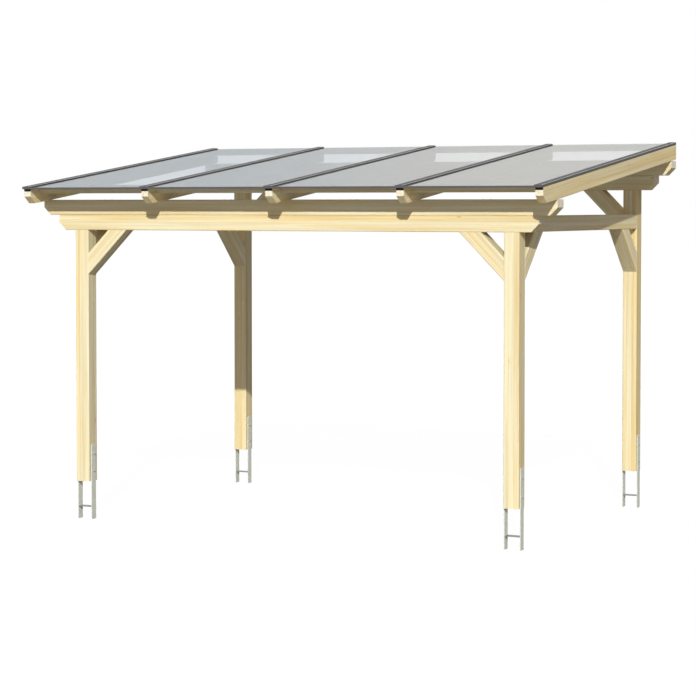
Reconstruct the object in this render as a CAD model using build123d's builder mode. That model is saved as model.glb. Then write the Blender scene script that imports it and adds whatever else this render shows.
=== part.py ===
from build123d import *
from math import atan, cos, degrees, sin
import os

# Attached patio cover: a planed timber frame under a single-pitch roof of clear sheets.
# Millimetres. X runs along the house wall, +Y points to the wall and +Z up.
# The origin is on the ground, under the middle of the roof.

os.makedirs("parts", exist_ok=True)

# Timber sections
post_size = 120  # posts, beams, purlins and braces are square
rafter_width = 60
rafter_depth = 120
eased_edge = 5  # bevel along the edges of the square timbers
rafter_edge = 2  # bevel along the edges of the rafters
batten_width = 60
batten_depth = 50

# Frame in plan
bays = 4
rafter_spacing = 1085
post_inset = 295  # end of the purlin to the outer face of the post
beam_overhang = 150  # lower beam past the outer face of the post
frame_depth = 2700  # front faces of the front posts to the wall
rafter_overhang = 280  # rafter tail in front of the front posts
sheet_overhang = 30  # upper edge of the roof in front of the rafter tails

# Frame in height
anchor_drop = 306  # ground to the lower ends of the posts
front_post_length = 2010
rear_post_length = 2330
beam_end_plumb = 60  # upright part of a beam's end, over the 45 degree cut
brace_length = 500  # longer edge of a brace
notch_depth = 2  # how far a rafter is let down over a purlin
tail_plumb = 60  # upright part of a rafter's tail
tail_undercut = 66  # how far the cut under the tail runs back
batten_setback = 121  # tail of the rafter to the face of the front batten

# Post anchors
strap_width = 60
strap_thickness = 6
strap_length = 600
anchor_bar_height = 100  # ground to the middle of the cross bar

# Roof
gasket_thickness = 1.5
sheet_thickness = 10
sheet_gap = 16  # between two sheets, over the middle of a rafter
seal_thickness = 1
seal_width = 8
strip_width = 60
strip_height = 8.5
strip_wall = 1.5
strip_bevel = 2
strip_rib = 6
strip_end = 1.5  # plate that closes the lower end of a strip
edge_profile_wall = 1
edge_profile_depth = 24

# Levels
front_beam_bottom = anchor_drop + front_post_length
rear_beam_bottom = anchor_drop + rear_post_length
front_purlin_bottom = front_beam_bottom + post_size
rear_purlin_bottom = rear_beam_bottom + post_size
front_purlin_top = front_purlin_bottom + post_size
rear_purlin_top = rear_purlin_bottom + post_size

# Places in plan
overall_width = bays * rafter_spacing + rafter_width
overall_depth = frame_depth + rafter_overhang + sheet_overhang
wall_y = overall_depth / 2
front_y = wall_y - frame_depth
rear_y = wall_y - post_size
tail_y = front_y - rafter_overhang
post_face_x = overall_width / 2 - post_inset
post_x = post_face_x - post_size / 2
front_post_y = front_y + post_size / 2
rear_post_y = rear_y + post_size / 2
rafter_x = [(place - bays / 2) * rafter_spacing for place in range(bays + 1)]
bay_x = [(place + 0.5 - bays / 2) * rafter_spacing for place in range(bays)]

# Roof pitch, from the two purlins that carry the rafters
slope = (rear_purlin_top - front_purlin_top) / (rear_y - front_y)
pitch = atan(slope)
up_slope = (0, cos(pitch), sin(pitch))
off_slope = (0, -sin(pitch), cos(pitch))


def rafter_bottom(y):
    return front_purlin_top - notch_depth + (y - front_y) * slope


def rafter_top(y):
    return rafter_bottom(y) + rafter_depth / cos(pitch)


# On the roof plane, local X is along the wall, local Y up the slope and local Z off the roof.
roof_origin = (0, tail_y, rafter_top(tail_y))
strip_top = gasket_thickness + sheet_thickness + seal_thickness + strip_height
roof_start = (strip_top * sin(pitch) - sheet_overhang) / cos(pitch)
sheet_bottom = gasket_thickness
sheet_top = sheet_bottom + sheet_thickness
profile_bottom = sheet_bottom - edge_profile_wall
profile_start = roof_start + strip_end
sheet_start = profile_start + edge_profile_wall
rafter_end = (wall_y - tail_y) / cos(pitch)
roof_end = rafter_end + sheet_bottom * sin(pitch) / cos(pitch)


def roof_plane(x, along, off):
    """A plane square to the slope: local X is along -X, local Y off the roof and local Z up the slope."""
    place = Vector(*roof_origin) + Vector(*up_slope) * along + Vector(*off_slope) * off
    return Plane(origin=place + Vector(x, 0, 0), x_dir=(-1, 0, 0), z_dir=up_slope)


def side_plane(x):
    """The upright plane at x, with local X along +Y and local Y up."""
    return Plane(origin=(x, 0, 0), x_dir=(0, 1, 0), z_dir=(1, 0, 0))


def write(part, name):
    part.label = name
    export_step(part, f"parts/{name}.step")


def make_post(name, x, y, length):
    with BuildPart() as post:
        with BuildSketch(Plane(origin=(x, y, anchor_drop))) as section:
            Rectangle(post_size, post_size)
            chamfer(section.vertices(), eased_edge)
        extrude(amount=length)
    write(post.part, name)


def make_anchor(name, x, y):
    """An H of flat steel: two straps up the sides of the post and a bar between them."""
    strap_x = post_size / 2 + strap_thickness / 2
    with BuildPart() as anchor:
        with BuildSketch(Plane(origin=(x, y, 0))):
            with Locations((-strap_x, 0), (strap_x, 0)):
                Rectangle(strap_thickness, strap_width)
        extrude(amount=strap_length)
        with BuildSketch(Plane(origin=(x, y, anchor_bar_height - strap_thickness / 2))):
            Rectangle(post_size, strap_width)
        extrude(amount=strap_thickness)
    write(anchor.part, name)


def make_cross_beam(name, length, y, bottom):
    """A beam along X. The lower half of each end is cut back at 45 degrees."""
    undercut = post_size - beam_end_plumb
    with BuildPart() as beam:
        middle = bottom + post_size / 2
        with BuildSketch(Plane(origin=(-length / 2, y, middle), x_dir=(0, 1, 0), z_dir=(1, 0, 0))) as section:
            Rectangle(post_size, post_size)
            chamfer(section.vertices(), eased_edge)
        extrude(amount=length)
        with BuildSketch(Plane(origin=(0, y, bottom), x_dir=(1, 0, 0), z_dir=(0, -1, 0))):
            with BuildLine():
                Polyline(
                    (length / 2, undercut),
                    (length / 2, 0),
                    (length / 2 - undercut, 0),
                    close=True,
                )
            make_face()
            mirror(about=Plane.YZ)
        extrude(amount=post_size, both=True, mode=Mode.SUBTRACT)
    write(beam.part, name)


def make_side_beam(name, x):
    """Butts between the back of the front beam and the front of the rear post."""
    start_y = front_y + post_size
    place = (x, start_y, front_beam_bottom + post_size / 2)
    with BuildPart() as beam:
        with BuildSketch(Plane(origin=place, x_dir=(1, 0, 0), z_dir=(0, 1, 0))) as section:
            Rectangle(post_size, post_size)
            chamfer(section.vertices(), eased_edge)
        extrude(amount=rear_y - start_y)
    write(beam.part, name)


def make_brace(name, corner, direction):
    """A 45 degree brace. corner is where post and beam meet, and direction leads along the beam."""
    long_leg = brace_length / 2**0.5
    short_leg = long_leg - post_size * 2**0.5
    along = Vector(*direction)
    up = Vector(0, 0, 1)
    with BuildPart() as brace:
        with BuildSketch(Plane(origin=corner, x_dir=along, z_dir=along.cross(up))):
            with BuildLine():
                Polyline(
                    (0, -long_leg),
                    (0, -short_leg),
                    (short_leg, 0),
                    (long_leg, 0),
                    close=True,
                )
            make_face()
        extrude(amount=post_size / 2, both=True)
        long_edges = brace.edges().filter_by(Axis((0, 0, 0), along + up))
        chamfer(long_edges, eased_edge)
    write(brace.part, name)


def make_rafter(name, x):
    """A sloping timber, cut at the tail, plumb at the wall and notched over both purlins."""
    blank_start = tail_y - rafter_depth
    blank_middle = (rafter_bottom(blank_start) + rafter_top(blank_start)) / 2
    blank_length = (wall_y - tail_y + 2 * rafter_depth) / cos(pitch)
    undercut_y = tail_y + tail_undercut
    undercut_top = rafter_top(tail_y) - tail_plumb
    undercut_fall = (undercut_top - rafter_bottom(undercut_y)) / tail_undercut
    offcut_front = tail_y - 2 * rafter_depth
    offcut_bottom = undercut_top - undercut_fall * (tail_undercut + rafter_depth)
    blank_plane = Plane(origin=(x, blank_start, blank_middle), x_dir=(1, 0, 0), z_dir=up_slope)
    with BuildPart() as rafter:
        with BuildSketch(blank_plane) as section:
            Rectangle(rafter_width, rafter_depth)
            chamfer(section.vertices(), rafter_edge)
        extrude(amount=blank_length)
        with BuildSketch(side_plane(x)):
            with BuildLine():
                Polyline(
                    (tail_y, rafter_top(tail_y) + rafter_depth),
                    (tail_y, undercut_top),
                    (undercut_y + rafter_depth, offcut_bottom),
                    (offcut_front, offcut_bottom),
                    (offcut_front, rafter_top(tail_y) + rafter_depth),
                    close=True,
                )
            make_face()
            with Locations((wall_y + rafter_depth, rafter_top(wall_y))):
                Rectangle(2 * rafter_depth, 4 * rafter_depth)
            with Locations(
                (front_post_y, front_purlin_bottom + post_size / 2),
                (rear_post_y, rear_purlin_bottom + post_size / 2),
            ):
                Rectangle(post_size, post_size)
        extrude(amount=rafter_width, both=True, mode=Mode.SUBTRACT)
    write(rafter.part, name)


def make_battens(name, start):
    """Short timbers between the rafters, flush with their tops, that close the roof's edge."""
    with BuildPart() as battens:
        for x in bay_x:
            with BuildSketch(roof_plane(x, start, -batten_depth / 2)) as section:
                Rectangle(rafter_spacing - rafter_width, batten_depth)
            extrude(amount=batten_width)
    write(battens.part, name)


def make_gaskets(name):
    """Flat rubber on the rafters, under the edges of the sheets."""
    with BuildPart() as gaskets:
        for x in rafter_x:
            with BuildSketch(roof_plane(x, 0, gasket_thickness / 2)):
                Rectangle(rafter_width, gasket_thickness)
            extrude(amount=rafter_end)
    write(gaskets.part, name)


def make_sheet(name, x):
    with BuildPart() as sheet:
        with BuildSketch(roof_plane(x, sheet_start, sheet_bottom + sheet_thickness / 2)):
            Rectangle(rafter_spacing - sheet_gap, sheet_thickness)
        extrude(amount=roof_end - sheet_start)
    write(sheet.part, name)


def make_edge_profiles(name):
    """A channel over the lower end of each sheet."""
    height = sheet_thickness + 2 * edge_profile_wall
    with BuildPart() as profiles:
        for x in bay_x:
            with BuildSketch(roof_plane(x, profile_start, profile_bottom + height / 2)):
                Rectangle(rafter_spacing - sheet_gap, height)
            extrude(amount=edge_profile_depth)
            with BuildSketch(roof_plane(x, sheet_start, sheet_bottom + sheet_thickness / 2)):
                Rectangle(rafter_spacing - sheet_gap, sheet_thickness)
            extrude(amount=edge_profile_depth - edge_profile_wall, mode=Mode.SUBTRACT)
    write(profiles.part, name)


def make_seals(name):
    """Rubber lips between the sheets and the edges of the cover strips."""
    start = profile_start + edge_profile_depth
    length = roof_end - start
    offset = strip_width / 2 - seal_width / 2
    with BuildPart() as seals:
        for x in rafter_x:
            for side in (-1, 1):
                if abs(x + side * offset) < rafter_x[-1]:
                    with BuildSketch(roof_plane(x + side * offset, start, sheet_top + seal_thickness / 2)):
                        Rectangle(seal_width, seal_thickness)
                    extrude(amount=length)
    write(seals.part, name)


def end_plate(x):
    """The plate over the lower end of a strip."""
    height = strip_top - gasket_thickness
    with BuildPart(mode=Mode.PRIVATE) as plate:
        with BuildSketch(roof_plane(x, roof_start, gasket_thickness + height / 2)) as outline:
            Rectangle(strip_width, height)
            chamfer(outline.vertices().group_by(Axis.Y)[-1], strip_bevel)
        extrude(amount=strip_end)
    return plate.part


def make_cover_strip(name, x):
    """An extruded cap over the joint of two sheets, with a rib that stands on the rafter."""
    lip_bottom = sheet_top + seal_thickness
    crown = strip_top - strip_wall
    with BuildPart() as strip:
        with BuildSketch(roof_plane(x, roof_start, 0)):
            with BuildLine():
                Polyline(
                    (0, strip_top),
                    (strip_width / 2 - strip_bevel, strip_top),
                    (strip_width / 2, strip_top - strip_bevel),
                    (strip_width / 2, lip_bottom),
                    (strip_width / 2 - strip_wall, lip_bottom),
                    (strip_width / 2 - strip_wall, crown),
                    (strip_rib / 2, crown),
                    (strip_rib / 2, gasket_thickness),
                    (0, gasket_thickness),
                    close=True,
                )
            make_face()
            mirror(about=Plane.YZ)
        extrude(amount=roof_end - roof_start)
        add(end_plate(x))
    write(strip.part, name)


def make_side_strip(name, x):
    """The cap on an outer rafter. Its outer leg closes the side of the sheet down to the rafter."""
    outward = 1 if x < 0 else -1
    lip_bottom = sheet_top + seal_thickness
    crown = strip_top - strip_wall
    with BuildPart() as strip:
        with BuildSketch(roof_plane(x, roof_start, 0)):
            with BuildLine():
                Polyline(
                    (outward * strip_width / 2, gasket_thickness),
                    (outward * strip_width / 2, strip_top - strip_bevel),
                    (outward * (strip_width / 2 - strip_bevel), strip_top),
                    (-outward * (strip_width / 2 - strip_bevel), strip_top),
                    (-outward * strip_width / 2, strip_top - strip_bevel),
                    (-outward * strip_width / 2, lip_bottom),
                    (-outward * (strip_width / 2 - strip_wall), lip_bottom),
                    (-outward * (strip_width / 2 - strip_wall), crown),
                    (outward * (strip_width / 2 - strip_wall), crown),
                    (outward * (strip_width / 2 - strip_wall), gasket_thickness),
                    close=True,
                )
            make_face()
        extrude(amount=roof_end - roof_start)
        add(end_plate(x))
    write(strip.part, name)


# Posts and their anchors
for side, x in (("left", -post_x), ("right", post_x)):
    make_post(f"front_{side}_post", x, front_post_y, front_post_length)
    make_post(f"rear_{side}_post", x, rear_post_y, rear_post_length)
    make_anchor(f"front_{side}_anchor", x, front_post_y)
    make_anchor(f"rear_{side}_anchor", x, rear_post_y)

# Lower beams across the posts, and purlins on the beams
beam_length = 2 * (post_face_x + beam_overhang)
make_cross_beam("front_beam", beam_length, front_post_y, front_beam_bottom)
make_cross_beam("rear_beam", beam_length, rear_post_y, rear_beam_bottom)
make_cross_beam("front_purlin", overall_width, front_post_y, front_purlin_bottom)
make_cross_beam("rear_purlin", overall_width, rear_post_y, rear_purlin_bottom)

# Side beams at the level of the front beam
make_side_beam("left_beam", -post_x)
make_side_beam("right_beam", post_x)

# Braces: two in the plane of each row of posts, and two under each side beam
inner_face_x = post_face_x - post_size
for side, sign in (("left", -1), ("right", 1)):
    inward = (-sign, 0, 0)
    make_brace(f"front_{side}_brace", (sign * inner_face_x, front_post_y, front_beam_bottom), inward)
    make_brace(f"rear_{side}_brace", (sign * inner_face_x, rear_post_y, rear_beam_bottom), inward)
    front_corner = (sign * post_x, front_y + post_size, front_beam_bottom)
    rear_corner = (sign * post_x, rear_y, front_beam_bottom)
    make_brace(f"{side}_front_side_brace", front_corner, (0, 1, 0))
    make_brace(f"{side}_rear_side_brace", rear_corner, (0, -1, 0))

# Rafters and the battens between them
for number, x in enumerate(rafter_x, start=1):
    make_rafter(f"rafter_{number}", x)
rear_batten_start = (wall_y - tail_y - batten_depth * sin(pitch)) / cos(pitch) - batten_width
make_battens("front_battens", batten_setback)
make_battens("rear_battens", rear_batten_start)

# Roof covering
make_gaskets("rafter_gaskets")
for number, x in enumerate(bay_x, start=1):
    make_sheet(f"roof_sheet_{number}", x)
make_edge_profiles("eaves_profiles")
make_seals("strip_seals")
for number, x in enumerate(rafter_x, start=1):
    if number in (1, bays + 1):
        make_side_strip(f"cover_strip_{number}", x)
    else:
        make_cover_strip(f"cover_strip_{number}", x)

print("pitch", round(degrees(pitch), 2), "degrees")
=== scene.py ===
import math

import bmesh
import bpy
from mathutils import Matrix, Vector


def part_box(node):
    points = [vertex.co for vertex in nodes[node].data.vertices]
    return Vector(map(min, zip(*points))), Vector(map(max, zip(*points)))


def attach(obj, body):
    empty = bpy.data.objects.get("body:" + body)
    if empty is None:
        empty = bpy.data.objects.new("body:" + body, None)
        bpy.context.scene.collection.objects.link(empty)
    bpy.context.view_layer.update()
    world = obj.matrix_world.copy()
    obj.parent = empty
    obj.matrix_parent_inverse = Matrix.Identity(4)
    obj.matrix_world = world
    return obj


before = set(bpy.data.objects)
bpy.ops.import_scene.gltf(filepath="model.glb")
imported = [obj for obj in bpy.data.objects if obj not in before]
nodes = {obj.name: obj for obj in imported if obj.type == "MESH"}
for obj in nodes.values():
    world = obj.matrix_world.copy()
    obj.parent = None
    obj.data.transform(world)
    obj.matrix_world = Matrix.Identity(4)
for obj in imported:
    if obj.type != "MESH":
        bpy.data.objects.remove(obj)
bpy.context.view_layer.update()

# Attached patio cover. Metres, X along the house wall, Y towards it, Z up.

scene = bpy.context.scene


# Small helpers for shader trees and meshes

def addNode(tree, kind, **settings):
    made = tree.nodes.new(kind)
    for name, value in settings.items():
        setattr(made, name, value)
    return made


def feed(tree, socket, value):
    # a socket takes a link from another socket, or a plain value
    if isinstance(value, bpy.types.NodeSocket):
        tree.links.new(value, socket)
    else:
        socket.default_value = value


def maths(tree, operation, *values):
    made = addNode(tree, "ShaderNodeMath", operation=operation)
    for socket, value in zip(made.inputs, values):
        feed(tree, socket, value)
    return made.outputs[0]


def vectorMaths(tree, operation, *values):
    made = addNode(tree, "ShaderNodeVectorMath", operation=operation)
    for socket, value in zip(made.inputs, values):
        feed(tree, socket, value)
    return made.outputs["Value" if operation in ("LENGTH", "DOT_PRODUCT") else "Vector"]


def remap(tree, value, fromLow, fromHigh, toLow=0.0, toHigh=1.0, smooth=False):
    made = addNode(tree, "ShaderNodeMapRange", clamp=True)
    if smooth:
        made.interpolation_type = "SMOOTHSTEP"
    for socket, number in zip(made.inputs, (value, fromLow, fromHigh, toLow, toHigh)):
        feed(tree, socket, number)
    return made.outputs[0]


def mixColour(tree, factor, first, second):
    made = addNode(tree, "ShaderNodeMix", data_type="RGBA")
    feed(tree, made.inputs[0], factor)
    feed(tree, made.inputs[6], first)
    feed(tree, made.inputs[7], second)
    return made.outputs[2]


noiseRange = (0.3, 0.7)  # nearly all of a noise lies between these


def noise(tree, vector, scale, detail=2.0, roughness=0.5):
    made = addNode(tree, "ShaderNodeTexNoise")
    feed(tree, made.inputs["Vector"], vector)
    made.inputs["Scale"].default_value = scale
    made.inputs["Detail"].default_value = detail
    made.inputs["Roughness"].default_value = roughness
    return made.outputs[0]


def stretchedNoise(tree, vector, stretch, detail=2.0, roughness=0.5):
    # noise with its own fineness along each axis
    return noise(tree, vectorMaths(tree, "MULTIPLY", vector, stretch), 1.0, detail, roughness)


def scaled(tree, vector, factor):
    made = addNode(tree, "ShaderNodeVectorMath", operation="SCALE")
    feed(tree, made.inputs[0], vector)
    feed(tree, made.inputs["Scale"], factor)
    return made.outputs["Vector"]


def weighted(tree, *parts):
    # the sum of values that each have a weight
    shares = [maths(tree, "MULTIPLY", value, weight) for value, weight in parts]
    total = shares[0]
    for share in shares[1:]:
        total = maths(tree, "ADD", total, share)
    return total


def coordinate(tree, name):
    return addNode(tree, "ShaderNodeTexCoord").outputs[name]


def axes(tree, vector):
    made = addNode(tree, "ShaderNodeSeparateXYZ")
    feed(tree, made.inputs[0], vector)
    return made.outputs


def turnTo(along, up):
    # the turn of a frame whose X and Z are these two directions
    return Matrix((along, up.cross(along), up)).transposed().to_euler()


def ownFrame(tree, vector, turned, centre=(0.0, 0.0, 0.0)):
    made = addNode(tree, "ShaderNodeMapping", vector_type="TEXTURE")
    made.inputs["Location"].default_value = centre
    made.inputs["Rotation"].default_value = turned
    feed(tree, made.inputs["Vector"], vector)
    return made.outputs[0]


def colour(red, green, blue):
    return (red, green, blue, 1.0)


def newGroup(name, inputs, outputs):
    group = bpy.data.node_groups.new(name, "ShaderNodeTree")
    for label, kind, value in inputs:
        socket = group.interface.new_socket(label, in_out="INPUT", socket_type=kind)
        if value is not None:
            socket.default_value = value
    for label, kind in outputs:
        group.interface.new_socket(label, in_out="OUTPUT", socket_type=kind)
    start = group.nodes.new("NodeGroupInput")
    end = group.nodes.new("NodeGroupOutput")
    return group, start.outputs, end.inputs


def useGroup(tree, group, values):
    made = addNode(tree, "ShaderNodeGroup", node_tree=group)
    for label, value in values.items():
        feed(tree, made.inputs[label], value)
    return made.outputs


def newMaterial(name):
    material = bpy.data.materials.new(name)
    material.use_nodes = True
    tree = material.node_tree
    return material, tree, tree.nodes["Principled BSDF"]


def addBump(tree, shader, height, distance):
    made = addNode(tree, "ShaderNodeBump")
    made.inputs["Distance"].default_value = distance
    feed(tree, made.inputs["Height"], height)
    feed(tree, shader.inputs["Normal"], made.outputs[0])


def toMesh(name, bm):
    mesh = bpy.data.meshes.new(name)
    bm.to_mesh(mesh)
    bm.free()
    return mesh


# Camera, at the photograph's angle

cameraSettings = {
    "place": (7.986, -16.219, 2.52),
    "heading": 26.4121,  # degrees from +Y towards -X
    "tilt": 2.25,  # degrees below level
    "lens": 115.68,
    "sensor": 36.0,
    "shiftY": -0.0803,
    "clipEnd": 400.0,
}


def makeCamera(settings):
    data = bpy.data.cameras.new("camera")
    data.lens = settings["lens"]
    data.sensor_width = settings["sensor"]
    data.shift_y = settings["shiftY"]
    data.clip_end = settings["clipEnd"]
    camera = bpy.data.objects.new("camera", data)
    scene.collection.objects.link(camera)
    camera.location = settings["place"]
    turns = (90.0 - settings["tilt"], 0.0, settings["heading"])
    camera.rotation_euler = [math.radians(turn) for turn in turns]
    scene.camera = camera


makeCamera(cameraSettings)
print("camera")


# Light: a sun from the front right, a weaker fill from behind on the left, and a pale surrounding

lightSettings = {
    "sunTravel": (-0.369, 0.807, -0.461),
    "sunStrength": 3.1,
    "sunAngle": 0.6,
    "sunColour": (1.0, 0.985, 0.94),
    "fillTravel": (0.55, -0.72, -0.42),
    "fillStrength": 1.7,
    "fillAngle": 30.0,
    "ambient": colour(0.345, 0.34, 0.375),
    "ambientLean": (-0.14, -0.33, 0.0),  # brighter in front and to the left
    "haze": colour(0.675, 0.682, 0.672),  # what gloss mirrors
    "sky": colour(0.505, 0.565, 0.625),  # the same, far to the left
    "skyReach": (-0.36, -0.52),
    "background": colour(1.0, 1.0, 1.0),
}


def makeSun(name, travel, strength, angle, tint):
    data = bpy.data.lights.new(name, "SUN")
    data.energy = strength
    data.angle = math.radians(angle)
    data.color = tint
    sun = bpy.data.objects.new(name, data)
    sun.rotation_euler = Vector(travel).to_track_quat("-Z", "Y").to_euler()
    sun.visible_transmission = False  # with the next line, the glass roof keeps its full shadow
    sun.visible_glossy = False
    scene.collection.objects.link(sun)


def directRay(tree, kind):
    # 1 for rays of this kind that have met no matt surface yet
    path = addNode(tree, "ShaderNodeLightPath")
    direct = maths(tree, "LESS_THAN", path.outputs["Diffuse Depth"], 0.5)
    return maths(tree, "MULTIPLY", path.outputs[kind], direct)


def seenMask(tree):
    # 1 for what the camera sees, straight or through the glass
    camera = addNode(tree, "ShaderNodeLightPath").outputs["Is Camera Ray"]
    return maths(tree, "MAXIMUM", camera, directRay(tree, "Is Transmission Ray"))


def makeWorld(settings):
    world = bpy.data.worlds.new("surrounding")
    scene.world = world
    world.use_nodes = True
    tree = world.node_tree
    tree.nodes.clear()
    direction = coordinate(tree, "Generated")
    over = remap(tree, axes(tree, direction)[0], *settings["skyReach"], smooth=True)
    mirrored = mixColour(tree, over, settings["haze"], settings["sky"])
    lean = vectorMaths(tree, "DOT_PRODUCT", direction, settings["ambientLean"])
    around = scaled(tree, settings["ambient"][:3], maths(tree, "ADD", lean, 1.0))
    shade = mixColour(tree, directRay(tree, "Is Glossy Ray"), around, mirrored)
    shade = mixColour(tree, seenMask(tree), shade, settings["background"])
    background = addNode(tree, "ShaderNodeBackground")
    feed(tree, background.inputs["Color"], shade)
    output = addNode(tree, "ShaderNodeOutputWorld")
    tree.links.new(background.outputs[0], output.inputs[0])


for lamp in ("sun", "fill"):
    travel, strength, angle = (lightSettings[lamp + part] for part in ("Travel", "Strength", "Angle"))
    makeSun(lamp, travel, strength, angle, lightSettings["sunColour"])
makeWorld(lightSettings)
scene.view_settings.view_transform = "Standard"
print("light")


# Floor, pale, with a faint shadow that fades out in the distance

floorSettings = {
    "reach": 120.0,
    "fade": (7.0, 16.0),
    "shadowShare": 0.09,
    "white": colour(1.0, 1.0, 1.0),
    "whiteLift": 0.5,  # makes up for the share of the paint
    "pale": colour(0.86, 0.86, 0.86),
    "bounce": colour(0.25, 0.24, 0.22),  # what the floor throws back on the object
}


def makeFloor(settings):
    material, tree, shader = newMaterial("floorPaint")
    tree.nodes.remove(shader)
    away = vectorMaths(tree, "LENGTH", coordinate(tree, "Object"))
    near = remap(tree, away, *settings["fade"], settings["shadowShare"], 0.0, smooth=True)
    plain = addNode(tree, "ShaderNodeBsdfDiffuse")
    plain.inputs["Color"].default_value = settings["bounce"]
    paint = addNode(tree, "ShaderNodeBsdfDiffuse")
    paint.inputs["Color"].default_value = settings["pale"]
    glow = addNode(tree, "ShaderNodeEmission")
    glow.inputs["Color"].default_value = settings["white"]
    glow.inputs["Strength"].default_value = 1.0 + settings["whiteLift"] * settings["shadowShare"]
    pale = addNode(tree, "ShaderNodeMixShader")
    feed(tree, pale.inputs[0], near)
    tree.links.new(glow.outputs[0], pale.inputs[1])
    tree.links.new(paint.outputs[0], pale.inputs[2])
    both = addNode(tree, "ShaderNodeMixShader")
    feed(tree, both.inputs[0], seenMask(tree))
    tree.links.new(plain.outputs[0], both.inputs[1])
    tree.links.new(pale.outputs[0], both.inputs[2])
    output = tree.nodes["Material Output"]
    tree.links.new(both.outputs[0], output.inputs[0])
    bm = bmesh.new()
    bmesh.ops.create_grid(bm, x_segments=1, y_segments=1, size=settings["reach"])
    mesh = toMesh("floor", bm)
    mesh.materials.append(material)
    floor = bpy.data.objects.new("floor", mesh)
    scene.collection.objects.link(floor)


makeFloor(floorSettings)
print("floor")


# Timber: glued layers, each sawn from its own log, with growth rings, soft streaks and fine fibres.
# In a piece's own frame X runs along the grain and Z across the layers.

timberSettings = {
    "cream": colour(0.885, 0.82, 0.565),
    "honey": colour(0.87, 0.69, 0.34),
    "streakWarmth": 0.5,
    "layerWarmth": 0.25,  # differs from layer to layer
    "patchWarmth": (-0.2, 0.25),
    "bandWarmth": 0.2,  # the darker bands are the warmer ones
    "boardWarmth": 0.5,  # more on the layer that is named as the warmer one
    "late": colour(0.66, 0.43, 0.2),
    "lateShare": 0.3,
    "latePower": 3.0,
    "knot": colour(0.42, 0.23, 0.09),
    "knotShare": 0.45,
    "knotReach": (0.03, 0.075),
    "haloShare": 0.35,
    "haloReach": (0.06, 0.2),
    "endGrain": colour(0.9, 0.86, 0.71),
    "endShare": 0.75,
    "paintedBoardShade": 0.1,  # painted shade: the flat sides of the boards are darkened
    "paintedTopShade": 0.25,  # painted shade: faces that look up are darkened
    "upwards": (0.45, 0.7),
    "squareOn": (0.8, 0.98),  # how square a face lies to an axis, for the end grain and the flat sides
    "glueShade": 0.25,
    "glueReach": (0.4935, 0.4965),  # from the middle of a layer, as a share of it
    "fibreShade": 0.035,
    "bandShade": 0.095,
    # how fine each pattern is along the grain and across it
    "wander": (0.9, 5.0, 5.0),
    "streaks": (1.1, 26.0, 26.0),
    "bands": (0.8, 45.0, 45.0),
    "patches": (0.7, 7.0, 7.0),
    "fibres": (14.0, 900.0, 900.0),
    "knots": (2.6, 9.0, 9.0),
    "streakRange": (0.42, 0.66),
    "patchRange": (0.35, 0.7),
    "ringSpacing": 0.0042,
    "ringWander": 0.03,
    "pithSide": (-0.06, 0.06),
    "pithBelow": (0.015, 0.11),
    "layer": 0.04,
    "wholeLayer": 0.2,  # for timbers that are sawn from one piece
    "layerFit": 0.98,  # keeps the outer faces off the next glue line
    "layerShift": 37.0,  # gives each layer its own stretch of wood
    "roughness": 0.62,
    "roughSpread": 0.12,
    "specular": 0.25,
    "bump": 0.0004,
    "lateRelief": 0.35,
    "fibreRelief": 0.4,
    "glueRelief": -0.8,
}
noLayer = 9.0  # the number of the warmer layer in a timber that has none


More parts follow.
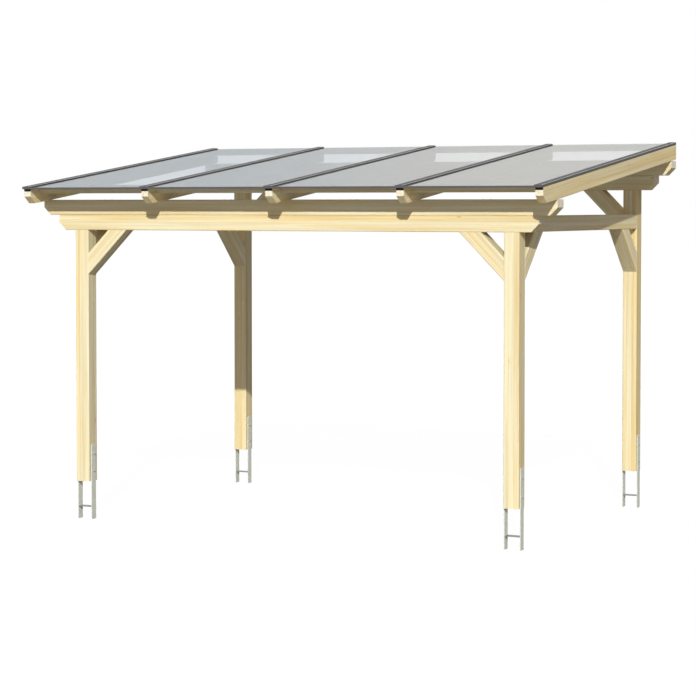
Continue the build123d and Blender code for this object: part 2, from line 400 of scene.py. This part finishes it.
def makeTimberGroup(settings):
    group, given, out = newGroup(
        "gluedTimber",
        [
            ("Vector", "NodeSocketVector", None),
            ("Facing", "NodeSocketVector", None),
            ("Upward", "NodeSocketFloat", 0.0),
            ("Seed", "NodeSocketFloat", 0.0),
            ("Layer", "NodeSocketFloat", settings["layer"]),
            ("Warm layer", "NodeSocketFloat", noLayer),
            ("Warmth", "NodeSocketFloat", 0.0),
        ],
        [("Color", "NodeSocketColor"), ("Roughness", "NodeSocketFloat"), ("Height", "NodeSocketFloat")],
    )
    y, z = axes(group, given["Vector"])[1:]
    facing = axes(group, given["Facing"])

    # which layer this point is in, and numbers that differ from layer to layer
    inner = maths(group, "MULTIPLY", z, settings["layerFit"])
    level = maths(group, "ADD", maths(group, "DIVIDE", inner, given["Layer"]), 0.5)
    number = maths(group, "FLOOR", level)
    pair = addNode(group, "ShaderNodeCombineXYZ")
    feed(group, pair.inputs[0], number)
    feed(group, pair.inputs[1], given["Seed"])
    draw = addNode(group, "ShaderNodeTexWhiteNoise", noise_dimensions="2D")
    feed(group, draw.inputs["Vector"], pair.outputs[0])
    chance = addNode(group, "ShaderNodeSeparateColor")
    feed(group, chance.inputs[0], draw.outputs["Color"])
    shift = scaled(group, draw.outputs["Color"], settings["layerShift"])
    own = vectorMaths(group, "ADD", given["Vector"], shift)

    # growth rings round a pith beside the layer
    pithY = remap(group, chance.outputs[0], 0.0, 1.0, *settings["pithSide"])
    pithZ = remap(group, chance.outputs[1], 0.0, 1.0, *settings["pithBelow"])
    layerMiddle = maths(group, "MULTIPLY", number, given["Layer"])
    acrossY = maths(group, "SUBTRACT", y, pithY)
    acrossZ = maths(group, "ADD", maths(group, "SUBTRACT", z, layerMiddle), pithZ)
    radius = maths(group, "SQRT", weighted(group, (acrossY, acrossY), (acrossZ, acrossZ)))
    wander = stretchedNoise(group, own, settings["wander"], 3.0)
    radius = maths(group, "ADD", radius, maths(group, "MULTIPLY", wander, settings["ringWander"]))
    turn = maths(group, "FRACT", maths(group, "DIVIDE", radius, settings["ringSpacing"]))
    late = maths(group, "POWER", turn, settings["latePower"])

    # soft streaks, bands and broad patches along the grain, and fine fibres
    streak = stretchedNoise(group, own, settings["streaks"], 3.0, 0.55)
    streak = remap(group, streak, *settings["streakRange"], smooth=True)
    band = remap(group, stretchedNoise(group, own, settings["bands"]), *noiseRange, -1.0, 1.0)
    patch = stretchedNoise(group, own, settings["patches"])
    fibre = stretchedNoise(group, own, settings["fibres"])

    # how warm this point is, from cream at 0 to honey at 1
    tone = draw.outputs["Value"]
    warm = weighted(group, (streak, settings["streakWarmth"]), (tone, settings["layerWarmth"]))
    patch = remap(group, patch, *settings["patchRange"], *settings["patchWarmth"])
    warm = maths(group, "ADD", warm, patch)
    warm = maths(group, "SUBTRACT", warm, maths(group, "MULTIPLY", band, settings["bandWarmth"]))
    chosen = maths(group, "COMPARE", number, given["Warm layer"], 0.5)
    warm = maths(group, "ADD", warm, maths(group, "MULTIPLY", chosen, settings["boardWarmth"]))
    warm = maths(group, "ADD", warm, given["Warmth"])
    warm = maths(group, "MAXIMUM", maths(group, "MINIMUM", warm, 1.0), 0.0)
    shade = mixColour(group, warm, settings["cream"], settings["honey"])
    shade = mixColour(group, maths(group, "MULTIPLY", late, settings["lateShare"]), shade, settings["late"])

    # a few small knots
    cell = addNode(group, "ShaderNodeTexVoronoi", feature="F1")
    cell.inputs["Scale"].default_value = 1.0
    feed(group, cell.inputs["Vector"], vectorMaths(group, "MULTIPLY", own, settings["knots"]))
    away = cell.outputs["Distance"]
    knot = remap(group, away, *settings["knotReach"], 1.0, 0.0, smooth=True)
    halo = remap(group, away, *settings["haloReach"], settings["haloShare"], 0.0, smooth=True)
    shade = mixColour(group, halo, shade, settings["honey"])
    shade = mixColour(group, maths(group, "MULTIPLY", knot, settings["knotShare"]), shade, settings["knot"])

    # paler end grain
    end = remap(group, maths(group, "ABSOLUTE", facing[0]), *settings["squareOn"])
    shade = mixColour(group, maths(group, "MULTIPLY", end, settings["endShare"]), shade, settings["endGrain"])

    # glue lines, and painted shade on the flat sides and upper faces
    offMiddle = maths(group, "ABSOLUTE", maths(group, "SUBTRACT", maths(group, "FRACT", level), 0.5))
    glue = remap(group, offMiddle, *settings["glueReach"])
    # painted shade on the boards' flat sides and on faces that look up
    side = remap(group, maths(group, "ABSOLUTE", facing[2]), *settings["squareOn"], 0.0, settings["paintedBoardShade"])
    over = remap(group, given["Upward"], *settings["upwards"], 0.0, settings["paintedTopShade"])
    dark = maths(group, "MAXIMUM", side, over)
    dark = maths(group, "ADD", maths(group, "MULTIPLY", glue, settings["glueShade"]), dark)
    fine = remap(group, fibre, *noiseRange, -settings["fibreShade"], settings["fibreShade"])
    fine = maths(group, "ADD", fine, maths(group, "MULTIPLY", band, settings["bandShade"]))
    light = maths(group, "SUBTRACT", maths(group, "ADD", 1.0, fine), dark)
    feed(group, out["Color"], scaled(group, shade, light))

    rough = maths(group, "ADD", settings["roughness"], maths(group, "MULTIPLY", fibre, settings["roughSpread"]))
    rough = maths(group, "ADD", rough, maths(group, "MULTIPLY", end, settings["roughSpread"]))
    feed(group, out["Roughness"], rough)
    reliefs = ((late, settings["lateRelief"]), (fibre, settings["fibreRelief"]), (glue, settings["glueRelief"]))
    feed(group, out["Height"], weighted(group, *reliefs))
    return group


timberGroup = makeTimberGroup(timberSettings)


def makeTimber(name, centre, grain, stack, seed, layer, warmLayer, warmth):
    # grain and stack are the piece's own X and Z
    turned = turnTo(grain, stack)
    material, tree, shader = newMaterial(name)
    normal = coordinate(tree, "Normal")
    values = {
        "Vector": ownFrame(tree, coordinate(tree, "Object"), turned, centre),
        "Facing": ownFrame(tree, normal, turned),
        "Upward": axes(tree, normal)[2],
        "Seed": float(seed),
        "Layer": layer,
        "Warm layer": warmLayer,
        "Warmth": warmth,
    }
    made = useGroup(tree, timberGroup, values)
    feed(tree, shader.inputs["Base Color"], made["Color"])
    feed(tree, shader.inputs["Roughness"], made["Roughness"])
    shader.inputs["Specular IOR Level"].default_value = timberSettings["specular"]
    addBump(tree, shader, made["Height"], timberSettings["bump"])
    return material


def dress(node, material):
    slots = nodes[node].material_slots
    for slot in slots:
        slot.material = material
    if not slots:
        nodes[node].data.materials.append(material)


def middleOf(node):
    low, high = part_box(node)
    return (low + high) / 2


alongX, alongY, alongZ = Vector((1, 0, 0)), Vector((0, 1, 0)), Vector((0, 0, 1))
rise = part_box("rear_purlin")[1].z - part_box("front_purlin")[1].z
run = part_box("rear_purlin")[0].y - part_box("front_purlin")[0].y
upSlope = Vector((0, run, rise)).normalized()
offSlope = Vector((0, -rise, run)).normalized()
leftSide, rightSide = -alongX, alongX
sides = (("left", leftSide), ("right", rightSide))
rows = ("front", "rear")
rafterNumbers = range(1, 6)  # from the left
bayNumbers = range(1, 5)


def timberPieces():
    # name, direction of the grain, direction across the layers
    pieces = []
    for row in rows:
        for part in ("beam", "purlin"):
            pieces.append((f"{row}_{part}", alongX, alongZ))
        pieces.append((f"{row}_battens", alongX, offSlope))
        for side, outward in sides:
            pieces.append((f"{row}_{side}_post", alongZ, alongX))
            lean = (alongZ - outward).normalized()
            pieces.append((f"{row}_{side}_brace", lean, (alongZ + outward).normalized()))
            towards = alongY if row == "front" else -alongY
            lean = (alongZ + towards).normalized()
            pieces.append((f"{side}_{row}_side_brace", lean, (alongZ - towards).normalized()))
    for side, outward in sides:
        pieces.append((f"{side}_beam", alongY, alongZ))
    for number in rafterNumbers:
        pieces.append((f"rafter_{number}", upSlope, offSlope))
    return pieces


# which layer of a timber is the warmer one, counted from its middle, and how warm the whole timber is
timberTones = {
    "front_right_post": (1.0, -0.15),
    "front_left_post": (-1.0, -0.1),
    "rear_right_post": (1.0, 0.2),
    "rear_left_post": (0.0, 0.2),
    "front_beam": (1.0, 0.0),
    "front_right_brace": (-1.0, 0.05),
    "rafter_1": (noLayer, 0.2),
    "rafter_5": (noLayer, 0.4),
}

for seed, (node, grain, stack) in enumerate(timberPieces()):
    layer = timberSettings["layer"]
    if node.endswith("battens"):
        layer = timberSettings["wholeLayer"]
    warmLayer, warmth = timberTones.get(node, (noLayer, 0.0))
    wood = makeTimber(node + "_wood", middleOf(node), grain, stack, seed + 1, layer, warmLayer, warmth)
    dress(node, wood)
print("timber")


# Galvanised steel, with the large pale crystals of hot-dip zinc, and painted shade on the cross bars

steelSettings = {
    "dull": colour(0.68, 0.71, 0.62),
    "bright": colour(0.88, 0.9, 0.82),
    # painted shade for the cross bars
    "paintedBarShade": colour(0.3, 0.31, 0.28),
    "barHeight": 0.1,
    "barEdge": (0.0036, 0.0034),  # off the bar's middle, upwards or downwards
    "barEnd": (0.0599, 0.0595),  # off the post's middle, to the sides
    "crystal": 90.0,
    "crystalShare": 0.55,
    "cloud": 14.0,
    "roughness": (0.42, 0.6),
    "metallic": 0.15,
    "bump": 0.0003,
}

boltSteelSettings = dict(steelSettings, dull=colour(0.42, 0.44, 0.38), bright=colour(0.56, 0.57, 0.52))


def makeSteel(name, settings):
    material, tree, shader = newMaterial(name)
    place = coordinate(tree, "Object")
    spot = axes(tree, place)
    cell = addNode(tree, "ShaderNodeTexVoronoi", feature="F1")
    cell.inputs["Scale"].default_value = settings["crystal"]
    feed(tree, cell.inputs["Vector"], place)
    pick = addNode(tree, "ShaderNodeSeparateColor")
    feed(tree, pick.inputs[0], cell.outputs["Color"])
    cloud = noise(tree, place, settings["cloud"], 3.0)
    share = settings["crystalShare"]
    factor = weighted(tree, (pick.outputs[0], share), (cloud, 1.0 - share))
    zinc = mixColour(tree, factor, settings["dull"], settings["bright"])
    # painted shade: the cross bars between the straps are darkened
    offBar = maths(tree, "ABSOLUTE", maths(tree, "SUBTRACT", spot[2], settings["barHeight"]))
    offPost = maths(tree, "SUBTRACT", maths(tree, "ABSOLUTE", spot[0]), middleOf("front_right_post").x)
    between = remap(tree, maths(tree, "ABSOLUTE", offPost), *settings["barEnd"])
    bar = maths(tree, "MULTIPLY", remap(tree, offBar, *settings["barEdge"]), between)
    feed(tree, shader.inputs["Base Color"], mixColour(tree, bar, zinc, settings["paintedBarShade"]))
    feed(tree, shader.inputs["Roughness"], remap(tree, pick.outputs[1], 0.0, 1.0, *settings["roughness"]))
    shader.inputs["Metallic"].default_value = settings["metallic"]
    addBump(tree, shader, cloud, settings["bump"])
    return material


galvanisedSteel = makeSteel("galvanisedSteel", steelSettings)
boltSteel = makeSteel("boltSteel", boltSteelSettings)
for row in rows:
    for side, outward in sides:
        dress(f"{row}_{side}_anchor", galvanisedSteel)
print("steel")


# Extruded aluminium, dark, with a painted highlight along its bevels and painted light on its flanks,
# with drawing lines along the slope

aluminiumSettings = {
    "base": colour(0.106, 0.107, 0.108),
    "worn": colour(0.14, 0.14, 0.139),
    # painted highlight for the bevels
    "bevel": colour(0.6, 0.605, 0.61),
    # painted light for the flanks
    "flankPaintedLight": colour(0.15, 0.148, 0.143),
    # how far a face looks sideways to get the painted light of the flanks, and upwards to be a bevel or the top
    "flankStart": (0.8, 0.95),
    "bevelStart": (0.4, 0.5),
    "topStart": (0.85, 0.95),
    "drawn": (1.5, 700.0, 700.0),
    "cloud": 5.0,
    "roughness": (0.56, 0.72),
    "specular": 0.06,
    "bump": 0.00005,
}


def makeAluminium(settings):
    material, tree, shader = newMaterial("extrudedAluminium")
    place = coordinate(tree, "Object")
    own = ownFrame(tree, place, turnTo(upSlope, offSlope))
    drawn = stretchedNoise(tree, own, settings["drawn"])
    cloud = noise(tree, place, settings["cloud"], 4.0)
    factor = weighted(tree, (drawn, 0.5), (cloud, 0.5))
    metal = mixColour(tree, factor, settings["base"], settings["worn"])
    facing = axes(tree, coordinate(tree, "Normal"))
    # painted light on the faces that look sideways
    flankPaintedLight = remap(tree, maths(tree, "ABSOLUTE", facing[0]), *settings["flankStart"])
    metal = mixColour(tree, flankPaintedLight, metal, settings["flankPaintedLight"])
    # painted highlight on the faces between the flanks and the top
    leaning = remap(tree, facing[2], *settings["bevelStart"])
    bevel = maths(tree, "SUBTRACT", leaning, remap(tree, facing[2], *settings["topStart"]))
    feed(tree, shader.inputs["Base Color"], mixColour(tree, bevel, metal, settings["bevel"]))
    feed(tree, shader.inputs["Roughness"], remap(tree, drawn, *noiseRange, *settings["roughness"]))
    shader.inputs["Specular IOR Level"].default_value = settings["specular"]
    addBump(tree, shader, drawn, settings["bump"])
    return material


aluminium = makeAluminium(aluminiumSettings)
for number in rafterNumbers:
    dress(f"cover_strip_{number}", aluminium)
dress("eaves_profiles", aluminium)
print("aluminium")


# Clear glass with faint run-off marks down the slope

glassSettings = {
    "ior": 1.5,
    "clean": colour(0.985, 0.99, 0.988),
    "marked": colour(0.945, 0.955, 0.95),
    "runOff": (14.0, 0.8, 0.8),
    "markRange": (0.45, 0.75),
}


def makeGlass(settings):
    material, tree, shader = newMaterial("clearGlass")
    film = stretchedNoise(tree, coordinate(tree, "Object"), settings["runOff"], 5.0, 0.6)
    marks = remap(tree, film, *settings["markRange"], smooth=True)
    feed(tree, shader.inputs["Base Color"], mixColour(tree, marks, settings["clean"], settings["marked"]))
    shader.inputs["Roughness"].default_value = 0.0
    shader.inputs["Transmission Weight"].default_value = 1.0
    shader.inputs["Metallic"].default_value = 0.0
    shader.inputs["IOR"].default_value = settings["ior"]
    return material


clearGlass = makeGlass(glassSettings)
for number in bayNumbers:
    dress(f"roof_sheet_{number}", clearGlass)
print("glass")


# Rubber gaskets and seals

rubberSettings = {
    "base": colour(0.02, 0.02, 0.021),
    "chalk": colour(0.045, 0.045, 0.045),
    "cloud": 60.0,
    "roughness": (0.65, 0.85),
    "bump": 0.0002,
}


def makeRubber(settings):
    material, tree, shader = newMaterial("blackRubber")
    cloud = noise(tree, coordinate(tree, "Object"), settings["cloud"], 4.0)
    feed(tree, shader.inputs["Base Color"], mixColour(tree, cloud, settings["base"], settings["chalk"]))
    feed(tree, shader.inputs["Roughness"], remap(tree, cloud, *noiseRange, *settings["roughness"]))
    addBump(tree, shader, cloud, settings["bump"])
    return material


blackRubber = makeRubber(rubberSettings)
for node in ("rafter_gaskets", "strip_seals"):
    dress(node, blackRubber)
print("rubber")


# New pieces: small shapes are made once and copied to their places

def addPiece(name, bm, material):
    bmesh.ops.recalc_face_normals(bm, faces=bm.faces)
    mesh = toMesh(name, bm)
    mesh.materials.append(material)
    piece = bpy.data.objects.new(name, mesh)
    scene.collection.objects.link(piece)
    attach(piece, "root")


def bevelEdges(bm, edges, width):
    bmesh.ops.bevel(bm, geom=edges, offset=width, affect="EDGES", segments=2, profile=0.5, material=-1)


def addDisc(bm, radius, start, thick, segments, edge):
    # a disc or a prism on Z, with its upper rim bevelled
    made = bmesh.ops.create_cone(
        bm,
        cap_ends=True,
        segments=segments,
        radius1=radius,
        radius2=radius,
        depth=thick,
        matrix=Matrix.Translation((0, 0, start + thick / 2)),
    )
    upper = [corner for corner in made["verts"] if corner.co.z > start + thick / 2]
    rim = [line for line in bm.edges if line.verts[0] in upper and line.verts[1] in upper]
    bevelEdges(bm, rim, edge)


def addCopies(bm, pattern, places):
    for place in places:
        before = len(bm.verts)
        bm.from_mesh(pattern)
        bm.verts.ensure_lookup_table()
        bmesh.ops.transform(bm, matrix=place, verts=bm.verts[before:])


def standOn(point, outward):
    # a place whose own Z points away from the surface
    return Matrix.Translation(point) @ outward.to_track_quat("Z", "Y").to_matrix().to_4x4()


# Bolts through the anchors and posts

boltSettings = {
    "heights": (0.386, 0.526),
    "washer": 0.008,
    "washerThick": 0.0016,
    "washerSegments": 28,
    "hexagon": 0.0075,  # middle to corner
    "headThick": 0.0053,
    "nutThick": 0.0065,
    "shank": 0.004,
    "shankPast": 0.003,  # beyond the nut
    "shankSegments": 16,
    "edge": 0.0006,
}


def startBoltEnd(settings, thick):
    # a washer and a hexagon on it
    bm = bmesh.new()
    base = settings["washerThick"]
    addDisc(bm, settings["washer"], 0.0, base, settings["washerSegments"], settings["edge"] / 2)
    addDisc(bm, settings["hexagon"], base, thick, 6, settings["edge"])
    return bm


def makeBoltEnds(settings):
    head = startBoltEnd(settings, settings["headThick"])
    nut = startBoltEnd(settings, settings["nutThick"])
    top = settings["washerThick"] + settings["nutThick"]
    addDisc(nut, settings["shank"], top, settings["shankPast"], settings["shankSegments"], settings["edge"])
    return toMesh("boltHead", head), toMesh("boltNut", nut)


boltHead, boltNut = makeBoltEnds(boltSettings)
for row in rows:
    for side, outward in sides:
        node = f"{row}_{side}_anchor"
        low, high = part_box(node)
        middle = (low + high) / 2
        reach = (high.x - low.x) / 2
        bolts = bmesh.new()
        for height in boltSettings["heights"]:
            centre = Vector((middle.x, middle.y, height))
            addCopies(bolts, boltHead, [standOn(centre + outward * reach, outward)])
            addCopies(bolts, boltNut, [standOn(centre - outward * reach, -outward)])
        addPiece(node + "_bolts", bolts, boltSteel)
print("anchor bolts")


# Timber screws with low round heads

screwSettings = {
    "radius": 0.005,
    "thick": 0.0016,
    "edge": 0.0007,
    "recess": 0.0024,
    "recessDepth": 0.0011,
    "segments": 18,
    "braceEnd": 0.11,  # share of a brace's length from its end
    "halfPair": 0.03,  # half the distance between two screws of a pair
    "overPurlin": 0.035,
    "fromEnd": 0.04,
    "battenHalf": 0.025,  # from the middle of a batten to its lower face
}


def makeScrewHead(name, radius, settings):
    bm = bmesh.new()
    addDisc(bm, radius, 0.0, settings["thick"], settings["segments"], settings["edge"])
    top = max(bm.faces, key=lambda face: face.calc_center_median().z)
    inset = radius - settings["edge"] - settings["recess"]
    bmesh.ops.inset_region(bm, faces=[top], thickness=inset)
    bmesh.ops.inset_region(bm, faces=[top], thickness=settings["edge"] / 2, depth=-settings["recessDepth"])
    return toMesh(name, bm)


def braceCorner(node, towards):
    # where the brace's post and beam meet
    low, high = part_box(node)
    corner = (low + high) / 2
    for axis in (0, 1):
        if towards[axis] > 0.5:
            corner[axis] = low[axis]
        if towards[axis] < -0.5:
            corner[axis] = high[axis]
    corner.z = high.z
    return corner


def braceScrews(settings):
    # two near each end of a brace's lower face
    places = []
    for side, outward in sides:
        towards = {f"front_{side}_brace": -outward, f"rear_{side}_brace": -outward}
        towards[f"{side}_front_side_brace"] = alongY
        towards[f"{side}_rear_side_brace"] = -alongY
        for node, along in towards.items():
            corner = braceCorner(node, along)
            leg = corner.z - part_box(node)[0].z
            across = along.cross(alongZ)
            for share in (settings["braceEnd"], 1.0 - settings["braceEnd"]):
                point = corner + along * leg * share - alongZ * leg * (1.0 - share)
                for sign in (-1, 1):
                    spot = point + across * sign * settings["halfPair"]
                    places.append(standOn(spot, (along - alongZ).normalized()))
    return places


def rafterScrews(settings):
    # low on the sides of each rafter, over each purlin, but not on the roof's outer sides
    places = []
    for number in rafterNumbers:
        low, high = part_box(f"rafter_{number}")
        faces = []
        if number > rafterNumbers[0]:
            faces.append((low.x, leftSide))
        if number < rafterNumbers[-1]:
            faces.append((high.x, rightSide))
        for row in rows:
            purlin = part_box(f"{row}_purlin")[1].z
            y = middleOf(f"{row}_purlin").y
            for face, outward in faces:
                places.append(standOn(Vector((face, y, purlin + settings["overPurlin"])), outward))
    return places


def battenScrews(settings):
    # at a slant through the lower face of each batten's ends, into the rafters
    places = []
    for row in rows:
        under = middleOf(f"{row}_battens") - offSlope * settings["battenHalf"]
        for number in bayNumbers:
            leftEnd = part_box(f"rafter_{number}")[1].x + settings["fromEnd"]
            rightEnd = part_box(f"rafter_{number + 1}")[0].x - settings["fromEnd"]
            for x in (leftEnd, rightEnd):
                places.append(standOn(Vector((x, under.y, under.z)), -offSlope))
    return places


def beamScrews(settings):
    # at the ends of the side beams, on the faces that look inwards, and on the purlins between the rafters
    places = []
    for side, outward in sides:
        low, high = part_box(f"{side}_beam")
        middle = (low + high) / 2
        inner = middle.x - outward.x * (high.x - low.x) / 2
        for y in (low.y + settings["fromEnd"], high.y - settings["fromEnd"]):
            for sign in (-1, 1):
                places.append(standOn(Vector((inner, y, middle.z + sign * settings["halfPair"])), -outward))
    for row in rows:
        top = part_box(f"{row}_purlin")[1].z
        y = middleOf(f"{row}_purlin").y
        for number in bayNumbers:
            x = (middleOf(f"rafter_{number}").x + middleOf(f"rafter_{number + 1}").x) / 2
            for sign in (-1, 1):
                places.append(standOn(Vector((x + sign * settings["halfPair"], y, top)), alongZ))
    return places


timberScrew = makeScrewHead("timberScrew", screwSettings["radius"], screwSettings)
screwGroups = {
    "brace_screws": braceScrews,
    "rafter_screws": rafterScrews,
    "batten_screws": battenScrews,
    "beam_screws": beamScrews,
}
for name, findPlaces in screwGroups.items():
    screws = bmesh.new()
    addCopies(screws, timberScrew, findPlaces(screwSettings))
    addPiece(name, screws, boltSteel)
print("timber screws")


# Screws and rubber washers along the cover strips, and black lips over the rafters' tails as painted shadow
# under the roof's overhang

stripSettings = {
    "screw": 0.0055,
    "washer": 0.007,
    "washerThick": 0.0015,
    "washerSegments": 20,
    "first": 0.12,  # from the rafter's tail, and from the wall
    "count": 8,
    "top": 0.021,  # strip's top over the rafter
    "lipDrop": 0.019,  # below the top of the tail
    "lipThick": 0.002,
    "lipGap": 0.0003,  # from the tail
    "lipTop": 0.001,  # above the top of the tail
    "edge": 0.0004,
}

wallY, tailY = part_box("rafter_1")[1].y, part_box("rafter_1")[0].y
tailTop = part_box("rafter_1")[1].z - (wallY - tailY) * rise / run
rafterLength = (wallY - tailY) / upSlope.y


def roofPoint(x, along, off):
    return Vector((x, tailY, tailTop)) + upSlope * along + offSlope * off


def stripPlaces(settings, off):
    step = (rafterLength - 2 * settings["first"]) / (settings["count"] - 1)
    places = []
    for number in rafterNumbers:
        x = middleOf(f"cover_strip_{number}").x
        for place in range(settings["count"]):
            places.append(standOn(roofPoint(x, settings["first"] + place * step, off), offSlope))
    return places


def addPaintedShadowLips(settings):
    # a black rubber strip over the top of each rafter's tail, a painted shadow where the roof's overhang shades
    # the tail
    lips = bmesh.new()
    height = settings["lipDrop"] + settings["lipTop"]
    y = tailY - settings["lipGap"] - settings["lipThick"] / 2
    z = tailTop + settings["lipTop"] - height / 2
    for number in rafterNumbers:
        low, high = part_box(f"rafter_{number}")
        size = Matrix.Diagonal((high.x - low.x, settings["lipThick"], height, 1.0))
        place = Matrix.Translation(((low.x + high.x) / 2, y, z)) @ size
        bmesh.ops.create_cube(lips, size=1.0, matrix=place)
    bevelEdges(lips, list(lips.edges), settings["edge"])
    addPiece("painted_shadow_lips", lips, blackRubber)


def addStripScrews(settings):
    top, washerThick = settings["top"], settings["washerThick"]
    screws = bmesh.new()
    stripScrew = makeScrewHead("stripScrew", settings["screw"], screwSettings)
    addCopies(screws, stripScrew, stripPlaces(settings, top + washerThick))
    addPiece("strip_screws", screws, aluminium)
    washer = bmesh.new()
    addDisc(washer, settings["washer"], 0.0, washerThick, settings["washerSegments"], settings["edge"])
    washers = bmesh.new()
    addCopies(washers, toMesh("stripWasher", washer), stripPlaces(settings, top))
    addPiece("strip_washers", washers, blackRubber)


addStripScrews(stripSettings)
addPaintedShadowLips(stripSettings)
print("strip screws and gasket lips")
